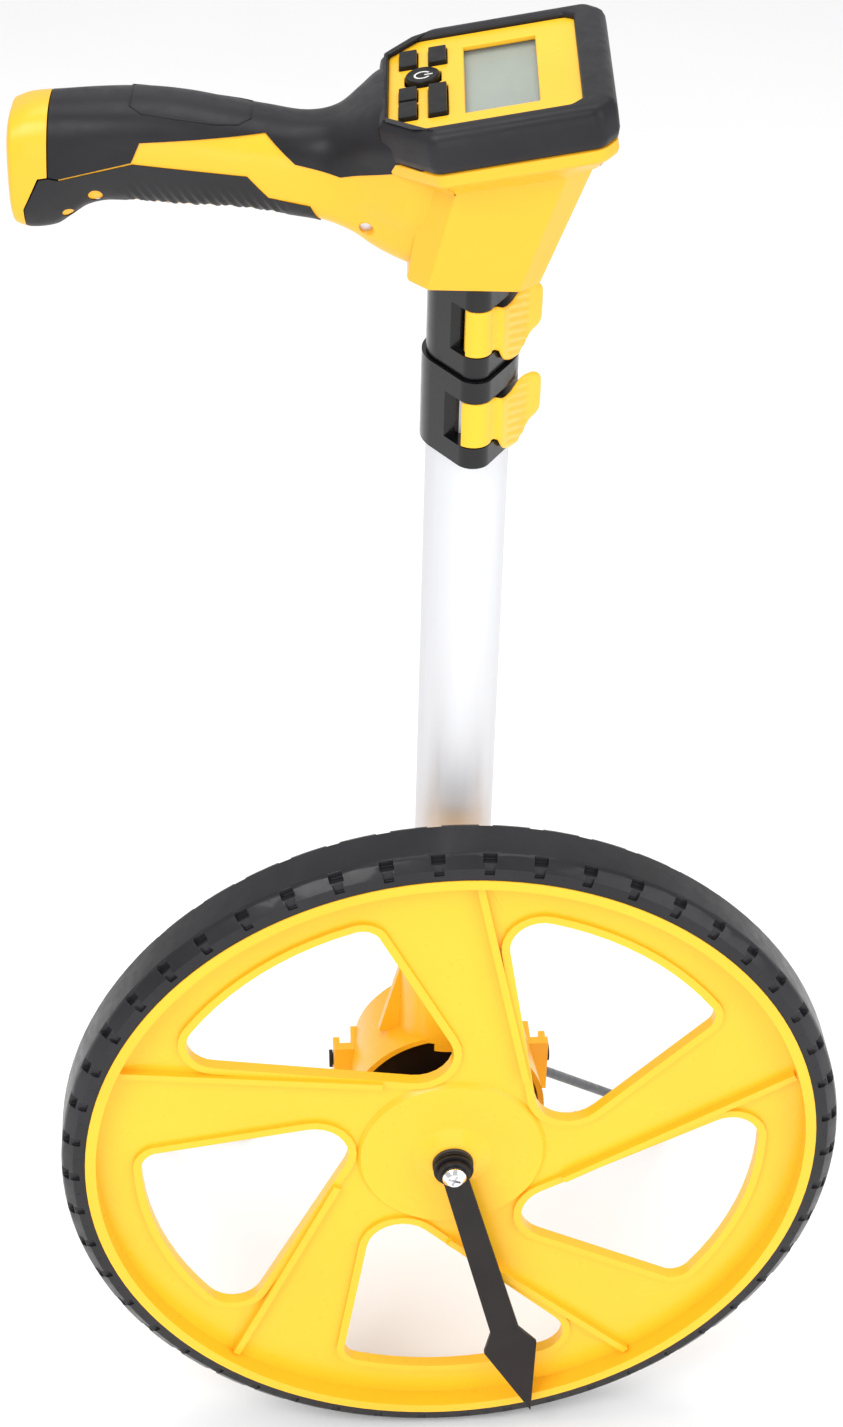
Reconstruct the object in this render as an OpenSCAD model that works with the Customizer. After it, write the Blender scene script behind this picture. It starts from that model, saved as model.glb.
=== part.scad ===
// Measuring wheel: a one-metre wheel on a fork-side yoke, a telescoping tube
// with two flip clamps, a fold-out stand and a display head with a grip.
// X is the rolling direction, Y the axle direction, Z is up.
// Lengths are millimetres.

/* [Wheel] */
// Distance rolled in one turn
circumference = 1000; // [900:10:1100]
// Width of the rim along the axle
rim_w = 28; // [24:1:32]
// Height of the tyre outside the rim
tyre_h = 9.65; // [8:0.05:11]
// Number of spokes
spoke_count = 5; // [4:1:6]
// Number of tread blocks
block_count = 50; // [36:2:60]

/* [Tube] */
// Outer radius of the lowest tube
tube_r = 15; // [14:0.5:16]
// Distance of the tube axis behind the rim's front plane
tube_y = 51; // [50:0.5:53]
// Height of the joint between the lower clamp and the outer tube
clamp_z = 475; // [440:1:520]

/* [Stand] */
// How far the feet stand behind the rim's front plane
foot_y = 188; // [170:1:200]
// Half the distance between the outer bends of the feet
foot_x = 127; // [110:1:130]
// Thickness of the stand rod
rod_d = 4.4; // [4:0.1:4.5]

/* [Head] */
// Turn of the head about the tube
head_turn = -4; // [-10:1:10]
// Tilt of the display towards the user
face_tilt = 11.4; // [5:0.2:15]
// Half the width of the bumper
bumper_half_w = 45; // [43:0.5:48]

/* [Hidden] */
$fn = 96;

wheel_r = circumference / (2 * PI);
rim_r = wheel_r - tyre_h;
lip_r = rim_r - 4.3;
web_y = 8;
web_t = 3.5;
hub_r = 39;
hub_y = 6;
nose_y = 1.6;
axle_r = 4;
axle_front = -5.4;
axle_back = 62;
flange_t = 1.4;
run_fit = 0.05;
gap = 0.3;

// Yoke drum: a tapered cup around the axle, open to the wheel
drum_front = 33.5;
drum_back = 78;
drum_front_r = 40.8;
drum_back_r = 36.6;
drum_wall = 2.4;
bulkhead_y = 46;
bulkhead_t = 4;
board_y = 38;
board_t = 1.6;
plug_h = 4;
boss_r = 19.5;
socket_z = wheel_r + 46;
socket_top = wheel_r + 86;

// Stand hinge, seen from the wheel's axle line
hinge_y = 73.5;
hinge_z = wheel_r - 6;
slot_in = 38.2;
slot_out = 42.8;
ear_out = 45.6;
shaft_r = 2.5;
sleeve_r = 3.3;
rod_x = (slot_in + slot_out) / 2;
bend_u = 30;

// Telescoping tubes
wall = 1.2;
mid_r = 13.5;
inner_r = 12;
clamp_h = 34;
clamp_gap = 0.6;
upper_z = clamp_z + clamp_h + clamp_gap;
neck_z = upper_z + clamp_h + 1.6;

// Display head, in its own frame: origin on the tube axis, Z from the ground
face_x = 6.7;
face_z = neck_z + 67.2;
grip_half_w = 17;
core_half_w = 14.4;

// The box around the whole object is centred on the origin
screw_front = axle_front - 3.4;
foot_back = foot_y + sleeve_r;
origin_y = (screw_front + foot_back) / 2;

module placed() translate([0, -origin_y, 0]) children();
module on_axle(y = 0) placed() translate([0, y, wheel_r]) rotate([-90, 0, 0]) children();
module on_tube(z = 0) placed() translate([0, tube_y, z]) children();
module in_head() on_tube() rotate([0, 0, head_turn]) children();
module in_face() translate([face_x, 0, face_z]) rotate([0, -face_tilt, 0]) children();
module on_face() in_head() in_face() children();

module ring(r_out, r_in, h) {
    difference() {
        cylinder(r = r_out, h = h);
        translate([0, 0, -1]) cylinder(r = r_in, h = h + 2);
    }
}

// ---------- wheel ----------
// A window between two spokes: three round corners and an arc about the axle.
// grow widens the outline evenly. On the axle frame the second axis points down.
window_arc_r = 127;
corner_a = [12.4, 73.8];
corner_b = [8.4, 36.8];
corner_c = [14.5, 57, 33.5];

function polar(r, a) = [r * cos(a), r * sin(a)];
function unit(v) = v / norm(v);
// Unit normal, left of the way from p to q, of the line touching both circles
function touch_dir(p, rp, q, rq) =
    let (d = q - p, along = unit(d), side = [-along[1], along[0]], k = (rp - rq) / norm(d))
    along * k + side * sqrt(1 - k * k);

// Points along an arc, with its last point or without it
function arc_points(centre, r, from, to, steps, last = 0) =
    [for (i = [0:steps - 1 + last]) centre + polar(r, from + (to - from) * i / steps)];
function angle_of(v) = atan2(v[1], v[0]);

module window_2d(grow = 0) {
    ra = corner_a[0] + grow;
    rb = corner_b[0] + grow;
    rc = corner_c[0] + grow;
    a = polar(window_arc_r - corner_a[0], corner_a[1]);
    b = polar(window_arc_r - corner_b[0], corner_b[1]);
    c = polar(corner_c[1], corner_c[2]);
    turn_ca = angle_of(touch_dir(c, rc, a, ra));
    turn_bc = angle_of(touch_dir(b, rb, c, rc));
    start = turn_ca < 0 ? turn_ca + 360 : turn_ca;
    polygon(concat(
        arc_points(a, ra, start, corner_a[1], 9),
        arc_points([0, 0], window_arc_r + grow, corner_a[1], corner_b[1], 10),
        arc_points(b, rb, corner_b[1], turn_bc, 7),
        arc_points(c, rc, turn_bc, start - 360, 9, 1)
    ));
}

module each_spoke() {
    for (i = [0:spoke_count - 1]) rotate([0, 0, 360 / spoke_count * i]) children();
}

// Flat drawing of the wheel face, X along the rolling direction and Y up
module wheel_face() mirror([0, 1, 0]) children();

module spoke_rib() {
    rib_w = 3;
    rib_h = 3.2;
    start = [29, 40];
    finish = [6.5, 144];
    d = finish - start;
    translate([start[0], start[1], web_y - rib_h])
        rotate([0, 0, atan2(d[1], d[0])])
            translate([0, -rib_w / 2, 0]) cube([norm(d), rib_w, rib_h + 1]);
}

module wheel() color("gold") on_axle() {
    difference() {
        union() {
            difference() {
                cylinder(r = rim_r, h = rim_w, $fn = 240);
                translate([0, 0, -1]) cylinder(r = lip_r, h = web_y + 1, $fn = 240);
                translate([0, 0, web_y + web_t]) cylinder(r = lip_r + 0.8, h = rim_w, $fn = 240);
            }
            translate([0, 0, hub_y])
                cylinder(r1 = hub_r - 1.5, r2 = hub_r + 0.5, h = web_y - hub_y + 0.5);
            translate([0, 0, nose_y]) cylinder(r1 = 9.6, r2 = 18, h = hub_y - nose_y + 0.4);
            wheel_face() each_spoke() translate([0, 0, web_y - 1.6]) linear_extrude(2) window_2d(3.4);
            wheel_face() each_spoke() spoke_rib();
            translate([0, 0, hub_y]) cylinder(r = 13, h = 18);
            translate([0, 0, 20]) cylinder(r = 25, h = 4);
        }
        wheel_face() each_spoke() translate([0, 0, -1]) linear_extrude(rim_w + 2) window_2d();
        translate([0, 0, -1]) cylinder(r = 8, h = rim_w + 2);
    }
}

module tyre() color([0.13, 0.13, 0.14]) {
    notch = 5.4;
    notch_h = 3;
    notch_w = 5.6;
    groove_d = 1.2;
    difference() {
        on_axle() rotate_extrude($fn = 240)
            polygon([[rim_r, 0.4], [rim_r + 4.9, 0.9], [wheel_r - 0.9, 4.2], [wheel_r, 6.2],
                     [wheel_r, rim_w - 6.2], [wheel_r - 0.9, rim_w - 4.2],
                     [rim_r + 4.9, rim_w - 0.9], [rim_r, rim_w - 0.4]]);
        // Each gap between two blocks runs over the shoulder and down the side wall
        on_axle() for (i = [0:block_count - 1], side = [0, 1])
            translate([0, 0, side * rim_w]) mirror([0, 0, side]) rotate([0, 0, 360 / block_count * i]) {
                translate([wheel_r - notch_h, -notch / 2, -1]) cube([5, notch, notch_w + 1]);
                translate([rim_r + 2.4, 0.8 - notch / 2, -1])
                    cube([tyre_h, notch - 1.6, groove_d + 1.9]);
            }
    }
}

module hub_bushes() color("dimgray") {
    on_axle() {
        translate([0, 0, nose_y - flange_t]) ring(8.4, axle_r + run_fit, flange_t);
        translate([0, 0, nose_y - 0.1]) ring(8, axle_r + run_fit, 12);
        translate([0, 0, 18]) ring(8, axle_r + run_fit, 6);
        translate([0, 0, 24]) ring(10, axle_r + run_fit, 1.6);
    }
}

module magnet_ring() color("slategray") on_axle(24) ring(24, 13, 5);

// ---------- axle ----------
module axle() color("silver") on_axle(axle_front) difference() {
    cylinder(r = axle_r, h = axle_back - axle_front);
    translate([0, 0, -1]) cylinder(r = 2, h = 13);
}

module axle_spacer() color("silver") on_axle(26) ring(6.5, axle_r, 13);

module axle_nut() color("silver") on_axle(57) difference() {
    cylinder(r = 7.5, h = 5, $fn = 6);
    translate([0, 0, -1]) cylinder(r = axle_r, h = 7, $fn = 48);
}

// Grooved washer stack between the pointer and the hub
module pointer_spacer() color([0.12, 0.12, 0.13]) on_axle(-3) {
    ring(7.2, axle_r, 2.8);
    for (y = [0, 1.8]) translate([0, 0, y]) ring(8.2, 5, 1);
}

module axle_screw() color("silver") on_axle() {
    difference() {
        union() {
            translate([0, 0, axle_front - 1.8]) cylinder(r = 4.9, h = 1.7);
            translate([0, 0, axle_front - 3.4]) cylinder(r1 = 3.3, r2 = 4.9, h = 1.6);
            translate([0, 0, axle_front - 0.2]) cylinder(r = 2, h = 11);
        }
        for (a = [0, 90]) rotate([0, 0, a + 20])
            translate([-2.6, -0.5, axle_front - 4]) cube([5.2, 1, 2.6]);
    }
}

// ---------- pointer ----------
pointer_len = 150;
pointer_head = 42;
pointer_angle = 14.6;

module pointer() color([0.15, 0.15, 0.16]) on_axle(axle_front + 0.2) {
    arm_root = 5.2;
    arm_tip = 6.2;
    barb = 11.6;
    neck = pointer_len - pointer_head - 11;
    difference() {
        rotate([0, 0, 90 - pointer_angle]) {
            cylinder(r = 6.7, h = 2);
            linear_extrude(2)
                polygon([[0, -arm_root], [neck, -arm_tip], [neck + 11, -barb], [pointer_len, 0],
                         [neck + 11, barb], [neck, arm_tip], [0, arm_root]]);
        }
        translate([0, 0, -1]) cylinder(r = axle_r + run_fit, h = 4);
    }
}

// ---------- yoke ----------
module drum_solid() {
    on_axle(drum_front) cylinder(r1 = drum_front_r, r2 = drum_back_r, h = drum_back - drum_front);
}

module ear(side) {
    ear_in = 28;
    front = hinge_y - 10;
    depth = drum_back - front;
    below = 12;
    height = 26;
    placed() translate([0, front, hinge_z - below]) scale_x(side) {
        translate([ear_in, 0, 0]) cube([slot_in - ear_in, depth, height]);
        translate([ear_in, 0, 0]) cube([ear_out - ear_in, 4.2, height]);
        translate([slot_out, 0, 0]) cube([ear_out - slot_out, depth, height - 6]);
    }
}

module scale_x(side) if (side > 0) children(); else mirror([1, 0, 0]) children();

module yoke_housing() color("orange") difference() {
    union() {
        difference() {
            yoke_shell();
            // Front cavity, open to the wheel, and rear cavity under the cover
            on_axle(drum_front - 1)
                cylinder(r = drum_front_r - drum_wall, h = bulkhead_y - drum_front + 1);
            on_axle(bulkhead_y + bulkhead_t) cylinder(r = drum_back_r - drum_wall, h = drum_back);
        }
        on_axle(39) cylinder(r = 9, h = 18);
        cover_posts();
        // Two posts that carry the sensor board
        for (x = [-12, 12]) on_axle(board_y + board_t) translate([x, -14, 0])
            cylinder(r = 2, h = bulkhead_y - board_y - 1);
    }
    on_axle(0) rotate([0, 0, 45]) cylinder(r = axle_r, h = 70);
    on_tube(socket_z) rotate([0, 0, 45]) cylinder(r = tube_r, h = 60);
    on_tube(wheel_r + 30) rotate([0, 0, 30]) cylinder(r = 5, h = 40);
    // Hole for the lead through the bulkhead
    on_axle(bulkhead_y - 1) translate([0, -27, 0]) cylinder(r = 4, h = bulkhead_t + 2);
    on_hinge() translate([0, 0, -60]) cylinder(r = shaft_r + run_fit, h = 120);
    on_tube(socket_top - 12) rotate([-90, 0, 0]) rotate([0, 0, 20]) cylinder(r = 2, h = 40);
    cover_holes(r = 1.4, depth = 12);
}

module yoke_shell() {
    drum_solid();
    on_tube(wheel_r + 34) rotate([0, 0, 30]) cylinder(r = boss_r, h = socket_top - wheel_r - 34);
    for (side = [-1, 1]) ear(side);
    for (side = [-1, 1]) placed() scale_x(side) gusset();
    placed() translate([-2, tube_y + boss_r - 4, wheel_r + 32]) cube([4, 10.5, 30]);
}

module gusset() translate([0, tube_y + 2, 0]) rotate([90, 0, 0]) linear_extrude(4)
    polygon([[14, wheel_r + 31], [28, wheel_r + 31], [boss_r + 0.5, wheel_r + 64], [14, wheel_r + 64]]);

module on_hinge() placed() translate([0, hinge_y, hinge_z]) rotate([0, 90, 0]) children();

post_angles = [35, 145, 215, 325];
post_r = 29.6;

module cover_holes(r, depth) {
    for (a = post_angles) on_axle(drum_back - depth) rotate([0, 0, a])
        translate([post_r, 0, 0]) cylinder(r = r, h = depth + 8, $fn = 32);
}

module cover_posts() for (a = post_angles) on_axle(bulkhead_y + 1) rotate([0, 0, a])
    translate([post_r, 0, 0]) cylinder(r = 4.2, h = drum_back - bulkhead_y - 3.2);

module rear_cover() color([0.16, 0.16, 0.17]) difference() {
    union() {
        on_axle(drum_back) cylinder(r1 = drum_back_r, r2 = drum_back_r - 2, h = 3);
        on_axle(drum_back - 2) cylinder(r = drum_back_r - drum_wall - 0.1, h = 2);
    }
    cover_holes(r = 1.6, depth = 4);
}

module cover_screws() color("silver") for (a = post_angles)
    on_axle(drum_back) rotate([0, 0, a]) translate([post_r, 0, 0]) {
        translate([0, 0, -9]) cylinder(r = 1.4, h = 12.2, $fn = 32);
        translate([0, 0, 3]) cylinder(r1 = 2.8, r2 = 2.2, h = 1.6, $fn = 32);
    }

// Round board with its chip towards the magnets and its plug towards the bulkhead
module sensor_board() color("seagreen") on_axle(board_y) {
    ring(36, 12, board_t);
    translate([-3, -22, -2]) cube([6, 5, 2.2]);
    translate([-4, -31.4, board_t - 0.2]) cube([8, 4, plug_h + 0.2]);
}

// Lead from the sensor board, through the bulkhead and up into the tube
module sensor_lead() color("black") {
    lead_r = 1.5;
    start = board_y + board_t + plug_h;
    on_axle(start) translate([0, -27, 0]) cylinder(r = lead_r, h = tube_y - start, $fn = 24);
    on_tube(wheel_r + 27) sphere(r = lead_r, $fn = 24);
    on_tube(wheel_r + 27) cylinder(r = lead_r, h = 40, $fn = 24);
}

// ---------- stand ----------
foot_z = sleeve_r;
lean = atan2(hinge_z - foot_z, foot_y - hinge_y);
leg_u = norm([foot_y - hinge_y, hinge_z - foot_z]);

// The stand's flat plane: first axis sideways, second axis from the hinge to the ground
module stand_plane() placed() translate([0, hinge_y, hinge_z]) rotate([-lean, 0, 0]) children();

module rod(p, q, r) {
    d = q - p;
    translate([p[0], p[1], 0]) rotate([0, 0, atan2(d[1], d[0])]) rotate([0, 90, 0])
        cylinder(r = r, h = norm(d), $fn = 48);
}

module stand_leg() {
    bend = [rod_x, bend_u];
    toe = [foot_x, leg_u];
    toe_end = [foot_x - 45, leg_u];
    r = rod_d / 2;
    eye_t = rod_d - 0.4;
    difference() {
        union() {
            translate([rod_x - eye_t / 2, 0, 0]) rotate([0, 90, 0]) cylinder(r = 4.6, h = eye_t);
            rod([rod_x, 0], bend, r);
            translate([bend[0], bend[1], 0]) rotate([0, 0, 160]) sphere(r = r + 0.3, $fn = 48);
            rod(bend, toe, r);
            translate([toe[0], toe[1], 0]) rotate([0, 0, 25]) sphere(r = r + 0.3, $fn = 48);
            rod(toe, toe_end, r);
        }
        rotate([0, 90, 0]) cylinder(r = shaft_r, h = 60);
    }
}

module stand_leg_right() color("dimgray") stand_plane() stand_leg();
module stand_leg_left() color("dimgray") stand_plane() mirror([1, 0, 0]) stand_leg();

module stand_shaft() color([0.1, 0.1, 0.1]) on_hinge() {
    half = ear_out + 0.6;
    head_t = 1.4;
    translate([0, 0, -half]) cylinder(r = shaft_r, h = 2 * half);
    for (side = [-1, 1]) translate([0, 0, side * (half + 0.4) - head_t / 2])
        cylinder(r = 3.8, h = head_t);
}

module stand_feet() color([0.1, 0.1, 0.1]) for (side = [-1, 1])
    stand_plane() scale_x(side) difference() {
        rod([foot_x - 5, leg_u], [foot_x - 47, leg_u], sleeve_r);
        rod([foot_x - 4, leg_u], [foot_x - 45, leg_u], rod_d / 2);
    }

// ---------- telescoping tubes and clamps ----------
module outer_tube() color("lightgray") on_tube(socket_z) difference() {
    ring(tube_r, tube_r - wall, clamp_z + 31 - socket_z);
    translate([0, 0, socket_top - 12 - socket_z]) rotate([-90, 0, 0]) cylinder(r = 1.6, h = 30);
}

module tube_screw() color("silver") on_tube(socket_top - 12) rotate([-90, 0, 0]) {
    translate([0, 0, tube_r - wall]) cylinder(r = 1.6, h = boss_r - tube_r + wall);
    translate([0, 0, boss_r + 0.05]) cylinder(r = 3.4, h = 2.2);
}

module middle_tube() color("gainsboro") on_tube(socket_z + 14)
    ring(mid_r, mid_r - wall, upper_z + 31 - socket_z - 14);

module inner_tube() color("gainsboro") on_tube(socket_z + 28)
    ring(inner_r, inner_r - wall, neck_z + 29 - socket_z - 28);

module end_bush(r_out, r_tube) {
    translate([0, 0, -2]) ring(r_out, 8, 2);
    ring(r_tube - wall, 8, 12);
}

module middle_bush() color("white") on_tube(socket_z + 14) end_bush(tube_r - wall - run_fit, mid_r);
module inner_bush() color("white") on_tube(socket_z + 28) end_bush(mid_r - wall - run_fit, inner_r);

// Solid clamp: a ring round the tube and a round nose towards the wheel
module clamp_solid(ring_r, nose_y, nose_r) {
    flank = asin((ring_r - nose_r) / nose_y);
    linear_extrude(clamp_h) polygon(concat(
        arc_points([0, 0], ring_r, -flank, 180 + flank, 60, 1),
        arc_points([0, -nose_y], nose_r, 180 + flank, 360 - flank, 20, 1)
    ));
}

lever_tilt = 57;
lever_h = 17.4;
slot_h = 18;
arm_t = 2.4;
arm_out = 1.2;
arm_mid = 24;
arm_len = 35;
pin_r = 2;
pocket_gap = 0.4;

// Pocket for a lever's hub and arm, seen from the pin: open to the front and to both sides
module lever_pocket(nose_r) {
    hub = nose_r + 0.1 + pocket_gap;
    arm_in = nose_r + 0.1 + arm_out - arm_t - pocket_gap;
    along = polar(1, lever_tilt);
    out = polar(1, lever_tilt - 90);
    meet = sqrt(hub * hub - arm_in * arm_in);
    left_turn = 150;
    polygon(concat(
        [[-nose_r - 5, -nose_r - 6], [nose_r + 20, -nose_r - 6]],
        [out * (arm_in + 12) + along * arm_len, out * arm_in + along * arm_len],
        arc_points([0, 0], hub, angle_of(out * arm_in + along * meet), left_turn, 12, 1),
        [[-nose_r - 5, hub * sin(left_turn)]]
    ));
}

module clamp_body(ring_r, nose_y, nose_r, hold_r, slide_r) {
    lip_h = 3;
    difference() {
        clamp_solid(ring_r, nose_y, nose_r);
        translate([0, 0, -1]) cylinder(r = hold_r, h = clamp_h - lip_h + 1);
        translate([0, 0, 1]) cylinder(r = slide_r, h = clamp_h);
        translate([0, -nose_y, (clamp_h - slot_h) / 2]) linear_extrude(slot_h) lever_pocket(nose_r);
        translate([0, -nose_y, 2]) rotate([0, 0, 100]) cylinder(r = pin_r, h = clamp_h - 4);
    }
}

// Flip lever: a hub on the pin and an arm along the clamp's flank.
// The hub is cut back where it turns past the tube.
module lever(nose_y, nose_r) {
    hub = nose_r + 0.1;
    small = 4.1;
    arm_y = -hub - arm_out;
    back_turn = 168;
    translate([0, -nose_y, (clamp_h - lever_h) / 2]) difference() {
        rotate([0, 0, lever_tilt]) {
            linear_extrude(lever_h) polygon(concat(
                arc_points([0, 0], small, back_turn - 180, back_turn, 24, 1),
                arc_points([0, 0], hub, back_turn, 262, 16, 1),
                [[4, arm_y], [arm_mid, arm_y], [arm_mid, arm_y + arm_t], [4.4, arm_y + arm_t]],
                arc_points([0, 0], hub, -48, back_turn - 180, 6, 1)
            ));
            // Wing tip that stands away from the clamp
            translate([0, 0, 2]) linear_extrude(lever_h - 2)
                polygon([[arm_mid - 1, arm_y + 0.2], [arm_len, arm_y - 2.4],
                         [arm_len, arm_y - 2.4 + arm_t], [arm_mid - 1, arm_y + arm_t - 0.2]]);
        }
        translate([0, 0, -1]) cylinder(r = pin_r + run_fit, h = lever_h + 2);
    }
}

lower_ring = [17.2, 19.5, 6.5];
upper_ring = [15.7, 18.4, 5.6];

module lower_clamp() color([0.12, 0.12, 0.13]) on_tube(clamp_z)
    clamp_body(lower_ring[0], lower_ring[1], lower_ring[2], tube_r, mid_r + gap);

module upper_clamp() color([0.12, 0.12, 0.13]) on_tube(upper_z)
    clamp_body(upper_ring[0], upper_ring[1], upper_ring[2], mid_r, inner_r + gap);

module lower_lever() color("gold") on_tube(clamp_z) lever(lower_ring[1], lower_ring[2]);
module upper_lever() color("gold") on_tube(upper_z) lever(upper_ring[1], upper_ring[2]);

module lever_pin(nose_y) translate([0, -nose_y, 2]) cylinder(r = pin_r, h = clamp_h - 4);
module lower_lever_pin() color("silver") on_tube(clamp_z) lever_pin(lower_ring[1]);
module upper_lever_pin() color("silver") on_tube(upper_z) lever_pin(upper_ring[1]);

// The coiled lead inside the tubes, as one solid of its outer shape
module coiled_lead() color("black") on_tube(socket_z + 36) cylinder(r = 5, h = 240);

// ---------- head ----------
// Side outline of the grip, from the butt forwards along the top and back below
grip_outline = [
    [-158, 575], [-156.5, 596], [-150, 599.5], [-139, 601], [-113, 602.5], [-98, 601.5],
    [-84, 599], [-71, 597], [-58, 595], [-46, 597], [-34, 603], [-22, 603], [-22, 547],
    [-34, 551], [-42, 556], [-51, 559.5], [-62, 561.5], [-80, 564], [-99, 564.5], [-123, 566],
    [-131, 564.5], [-137, 560], [-142, 556.5], [-150, 555.5], [-155, 561]
];
core_outline = [
    [-138, 597.5], [-113, 599], [-98, 598], [-84, 595.8], [-71, 594], [-58, 592], [-46, 594],
    [-22, 602], [-22, 548], [-40, 558.5], [-62, 565], [-80, 567.5], [-99, 568], [-138, 569]
];
strip_outline = [
    [-112, 591.5], [-71, 594], [-61, 584.5], [-46, 581], [-21, 590], [-21, 540], [-34, 545],
    [-42, 550], [-52, 559], [-56, 569], [-70, 572.5], [-77, 580.5], [-115, 584.5]
];
// Everything below this line belongs to the lower grip
lower_zone = [
    [-165, 577.5], [-140, 577.8], [-115, 584.5], [-77, 580.5], [-70, 572.5], [-56, 569],
    [-36, 558], [-30, 540], [-165, 540]
];
cap_zone = [
    [-170, 620], [-140, 620], [-143, 578.5], [-146.5, 577.5], [-152, 566], [-150, 540], [-170, 540]
];
z_shift = neck_z - 544.8;

// Extrudes a side outline sideways over the given half width
module side_slab(half_w) translate([0, half_w, z_shift]) rotate([90, 0, 0])
    linear_extrude(2 * half_w) children();

module grip_shape(half_w) intersection() {
    side_slab(half_w) polygon(grip_outline);
    // Seen from above, the grip is slimmer at the butt and at its ends
    translate([0, 0, neck_z - 10]) linear_extrude(100)
        polygon([[-159, -13], [-150, -half_w + 0.5], [-100, -half_w], [-20, -half_w],
                 [-20, half_w], [-100, half_w], [-150, half_w - 0.5], [-159, 13]]);
}

module core_shape() side_slab(core_half_w) polygon(core_outline);

neck_plan = [[-16, -28], [16, -28], [23, -21], [23, 21], [16, 28], [-16, 28], [-23, 21], [-23, -21]];

// Outline halfway up the neck, and the one under the tray, each drawn in by inset
function neck_mid(inset) = [
    [-24 + inset, -24], [-16, -33 + inset], [18, -33 + inset], [30 - inset, -22],
    [30 - inset, 22], [18, 33 - inset], [-16, 33 - inset], [-24 + inset, 24]
];
function neck_top(inset) = [
    [-37 + inset, -24], [-25, -37 + inset], [24, -37 + inset], [29.4 - inset, -26],
    [29.4 - inset, 26], [24, 37 - inset], [-25, 37 - inset], [-37 + inset, 24]
];
neck_mid_z = neck_z + 42;

// Neck that flares from the tube up to the tray. With an inset it is the space inside.
module neck_shape(inset) {
    hull() {
        translate([0, 0, neck_z + (inset > 0 ? 3 : 0)]) linear_extrude(0.5)
            polygon([for (p = neck_plan) [p[0] * (1 - inset / 23), p[1] * (1 - inset / 28)]]);
        translate([0, 0, neck_mid_z - 0.5]) linear_extrude(0.5) polygon(neck_mid(inset));
    }
    hull() {
        translate([0, 0, neck_mid_z]) linear_extrude(0.5) polygon(neck_mid(inset));
        in_face() translate([0, 0, -13.4]) linear_extrude(0.5 + inset * 2) polygon(neck_top(inset));
    }
}

// Outline of the display plate, in the tilted face's own plane
plate_outline = [
    [-38, -27], [-28, -37.5], [25.8, -37.5], [29.6, -33.8],
    [29.6, 33.8], [25.8, 37.5], [-28, 37.5], [-38, 27]
];

tray_outline = [
    [-39, -27], [-28.5, -38], [26, -38], [30, -34], [30, 34], [26, 38], [-28.5, 38], [-39, 27]
];
room_outline = [
    [-37.2, -26.3], [-27.7, -35.9], [24.2, -35.9], [27.9, -32.5],
    [27.9, 32.5], [24.2, 35.9], [-27.7, 35.9], [-37.2, 26.3]
];

module housing_shape() difference() {
    union() {
        difference() {
            union() {
                neck_shape(0);
                core_shape();
                intersection() {
                    side_slab(grip_half_w) polygon(strip_outline);
                    grip_shape(grip_half_w);
                }
                // Yellow wall that rises around the display plate, under the bumper
                in_face() translate([0, 0, -14]) linear_extrude(11.8) polygon(tray_outline);
            }
            neck_shape(2.6);
            // Room for the parts under the display plate
            in_face() translate([0, 0, -12]) linear_extrude(30) polygon(room_outline);
            core_hollow();
        }
        // Collar that holds the inner tube
        translate([0, 0, neck_z + 1]) rotate([0, 0, 45]) cylinder(r = inner_r + 3, h = 27);
    }
    translate([0, 0, neck_z - 1]) rotate([0, 0, 30]) cylinder(r = inner_r, h = 40);
    battery_bore();
    screw_holes();
}

screw_r = 1.3;
screw_len = 21;
module screw_places() {
    for (p = [[-37, 561.5], [-128, 571.2]])
        translate([p[0], 0, p[1] + z_shift]) rotate([90, 0, 0]) children();
}

// Holes for the screws, with a deep seat for each head on the near side
module screw_holes() screw_places() {
    cylinder(r = screw_r, h = screw_len, center = true, $fn = 32);
    translate([0, 0, screw_len / 2]) cylinder(r = 2.5, h = 10, $fn = 32);
}

// Two cells lie in line in a bore along the grip
bore_r = 8;
cell_r = 7.1;
cell_len = 50.5;
cell_z = 581 + z_shift;
module on_cells(x) translate([x, 0, cell_z]) rotate([0, 90, 0]) children();
module battery_bore() on_cells(-155) rotate([0, 0, 35]) cylinder(r = bore_r, h = 134);

// Space around the battery tube, inside the walls of the grip
core_inner = [
    [-135, 595], [-113, 596.4], [-98, 595.4], [-84, 593.2], [-71, 591.4], [-58, 589.4],
    [-46, 591.4], [-30, 596], [-30, 556], [-40, 561.5], [-62, 568], [-80, 570.3], [-99, 571],
    [-122, 571.6], [-122, 576], [-135, 576]
];
module core_hollow() difference() {
    side_slab(core_half_w - 2.4) polygon(core_inner);
    on_cells(-140) rotate([0, 0, 35]) cylinder(r = bore_r + 1.6, h = 120);
    screw_places() rotate([0, 0, 20]) cylinder(r = 3.4, h = 60, center = true);
}

module half_space(side) translate([-200, side > 0 ? 0 : -100, neck_z - 20]) cube([400, 100, 200]);

module housing_near() color("gold") in_head() intersection() {
    housing_shape();
    half_space(-1);
}

module housing_far() color("gold") in_head() intersection() {
    housing_shape();
    half_space(1);
}

module housing_screws() color("silver") in_head() screw_places() {
    cylinder(r = screw_r, h = screw_len, center = true, $fn = 32);
    translate([0, 0, screw_len / 2]) cylinder(r = 2.4, h = 1.4, $fn = 32);
}

module grip_upper() color([0.15, 0.15, 0.16]) in_head() difference() {
    grip_shape(grip_half_w);
    side_slab(grip_half_w + 1) polygon(lower_zone);
    side_slab(grip_half_w + 1) polygon(cap_zone);
    side_slab(grip_half_w + 1) polygon(strip_outline);
    core_shape();
    neck_shape(0);
    tray_hole();
    battery_bore();
}

module tray_hole() in_face() translate([0, 0, -14]) linear_extrude(30)
    polygon([[-39, -27], [-28.5, -38], [30, -38], [30, 38], [-28.5, 38], [-39, 27]]);

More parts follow.
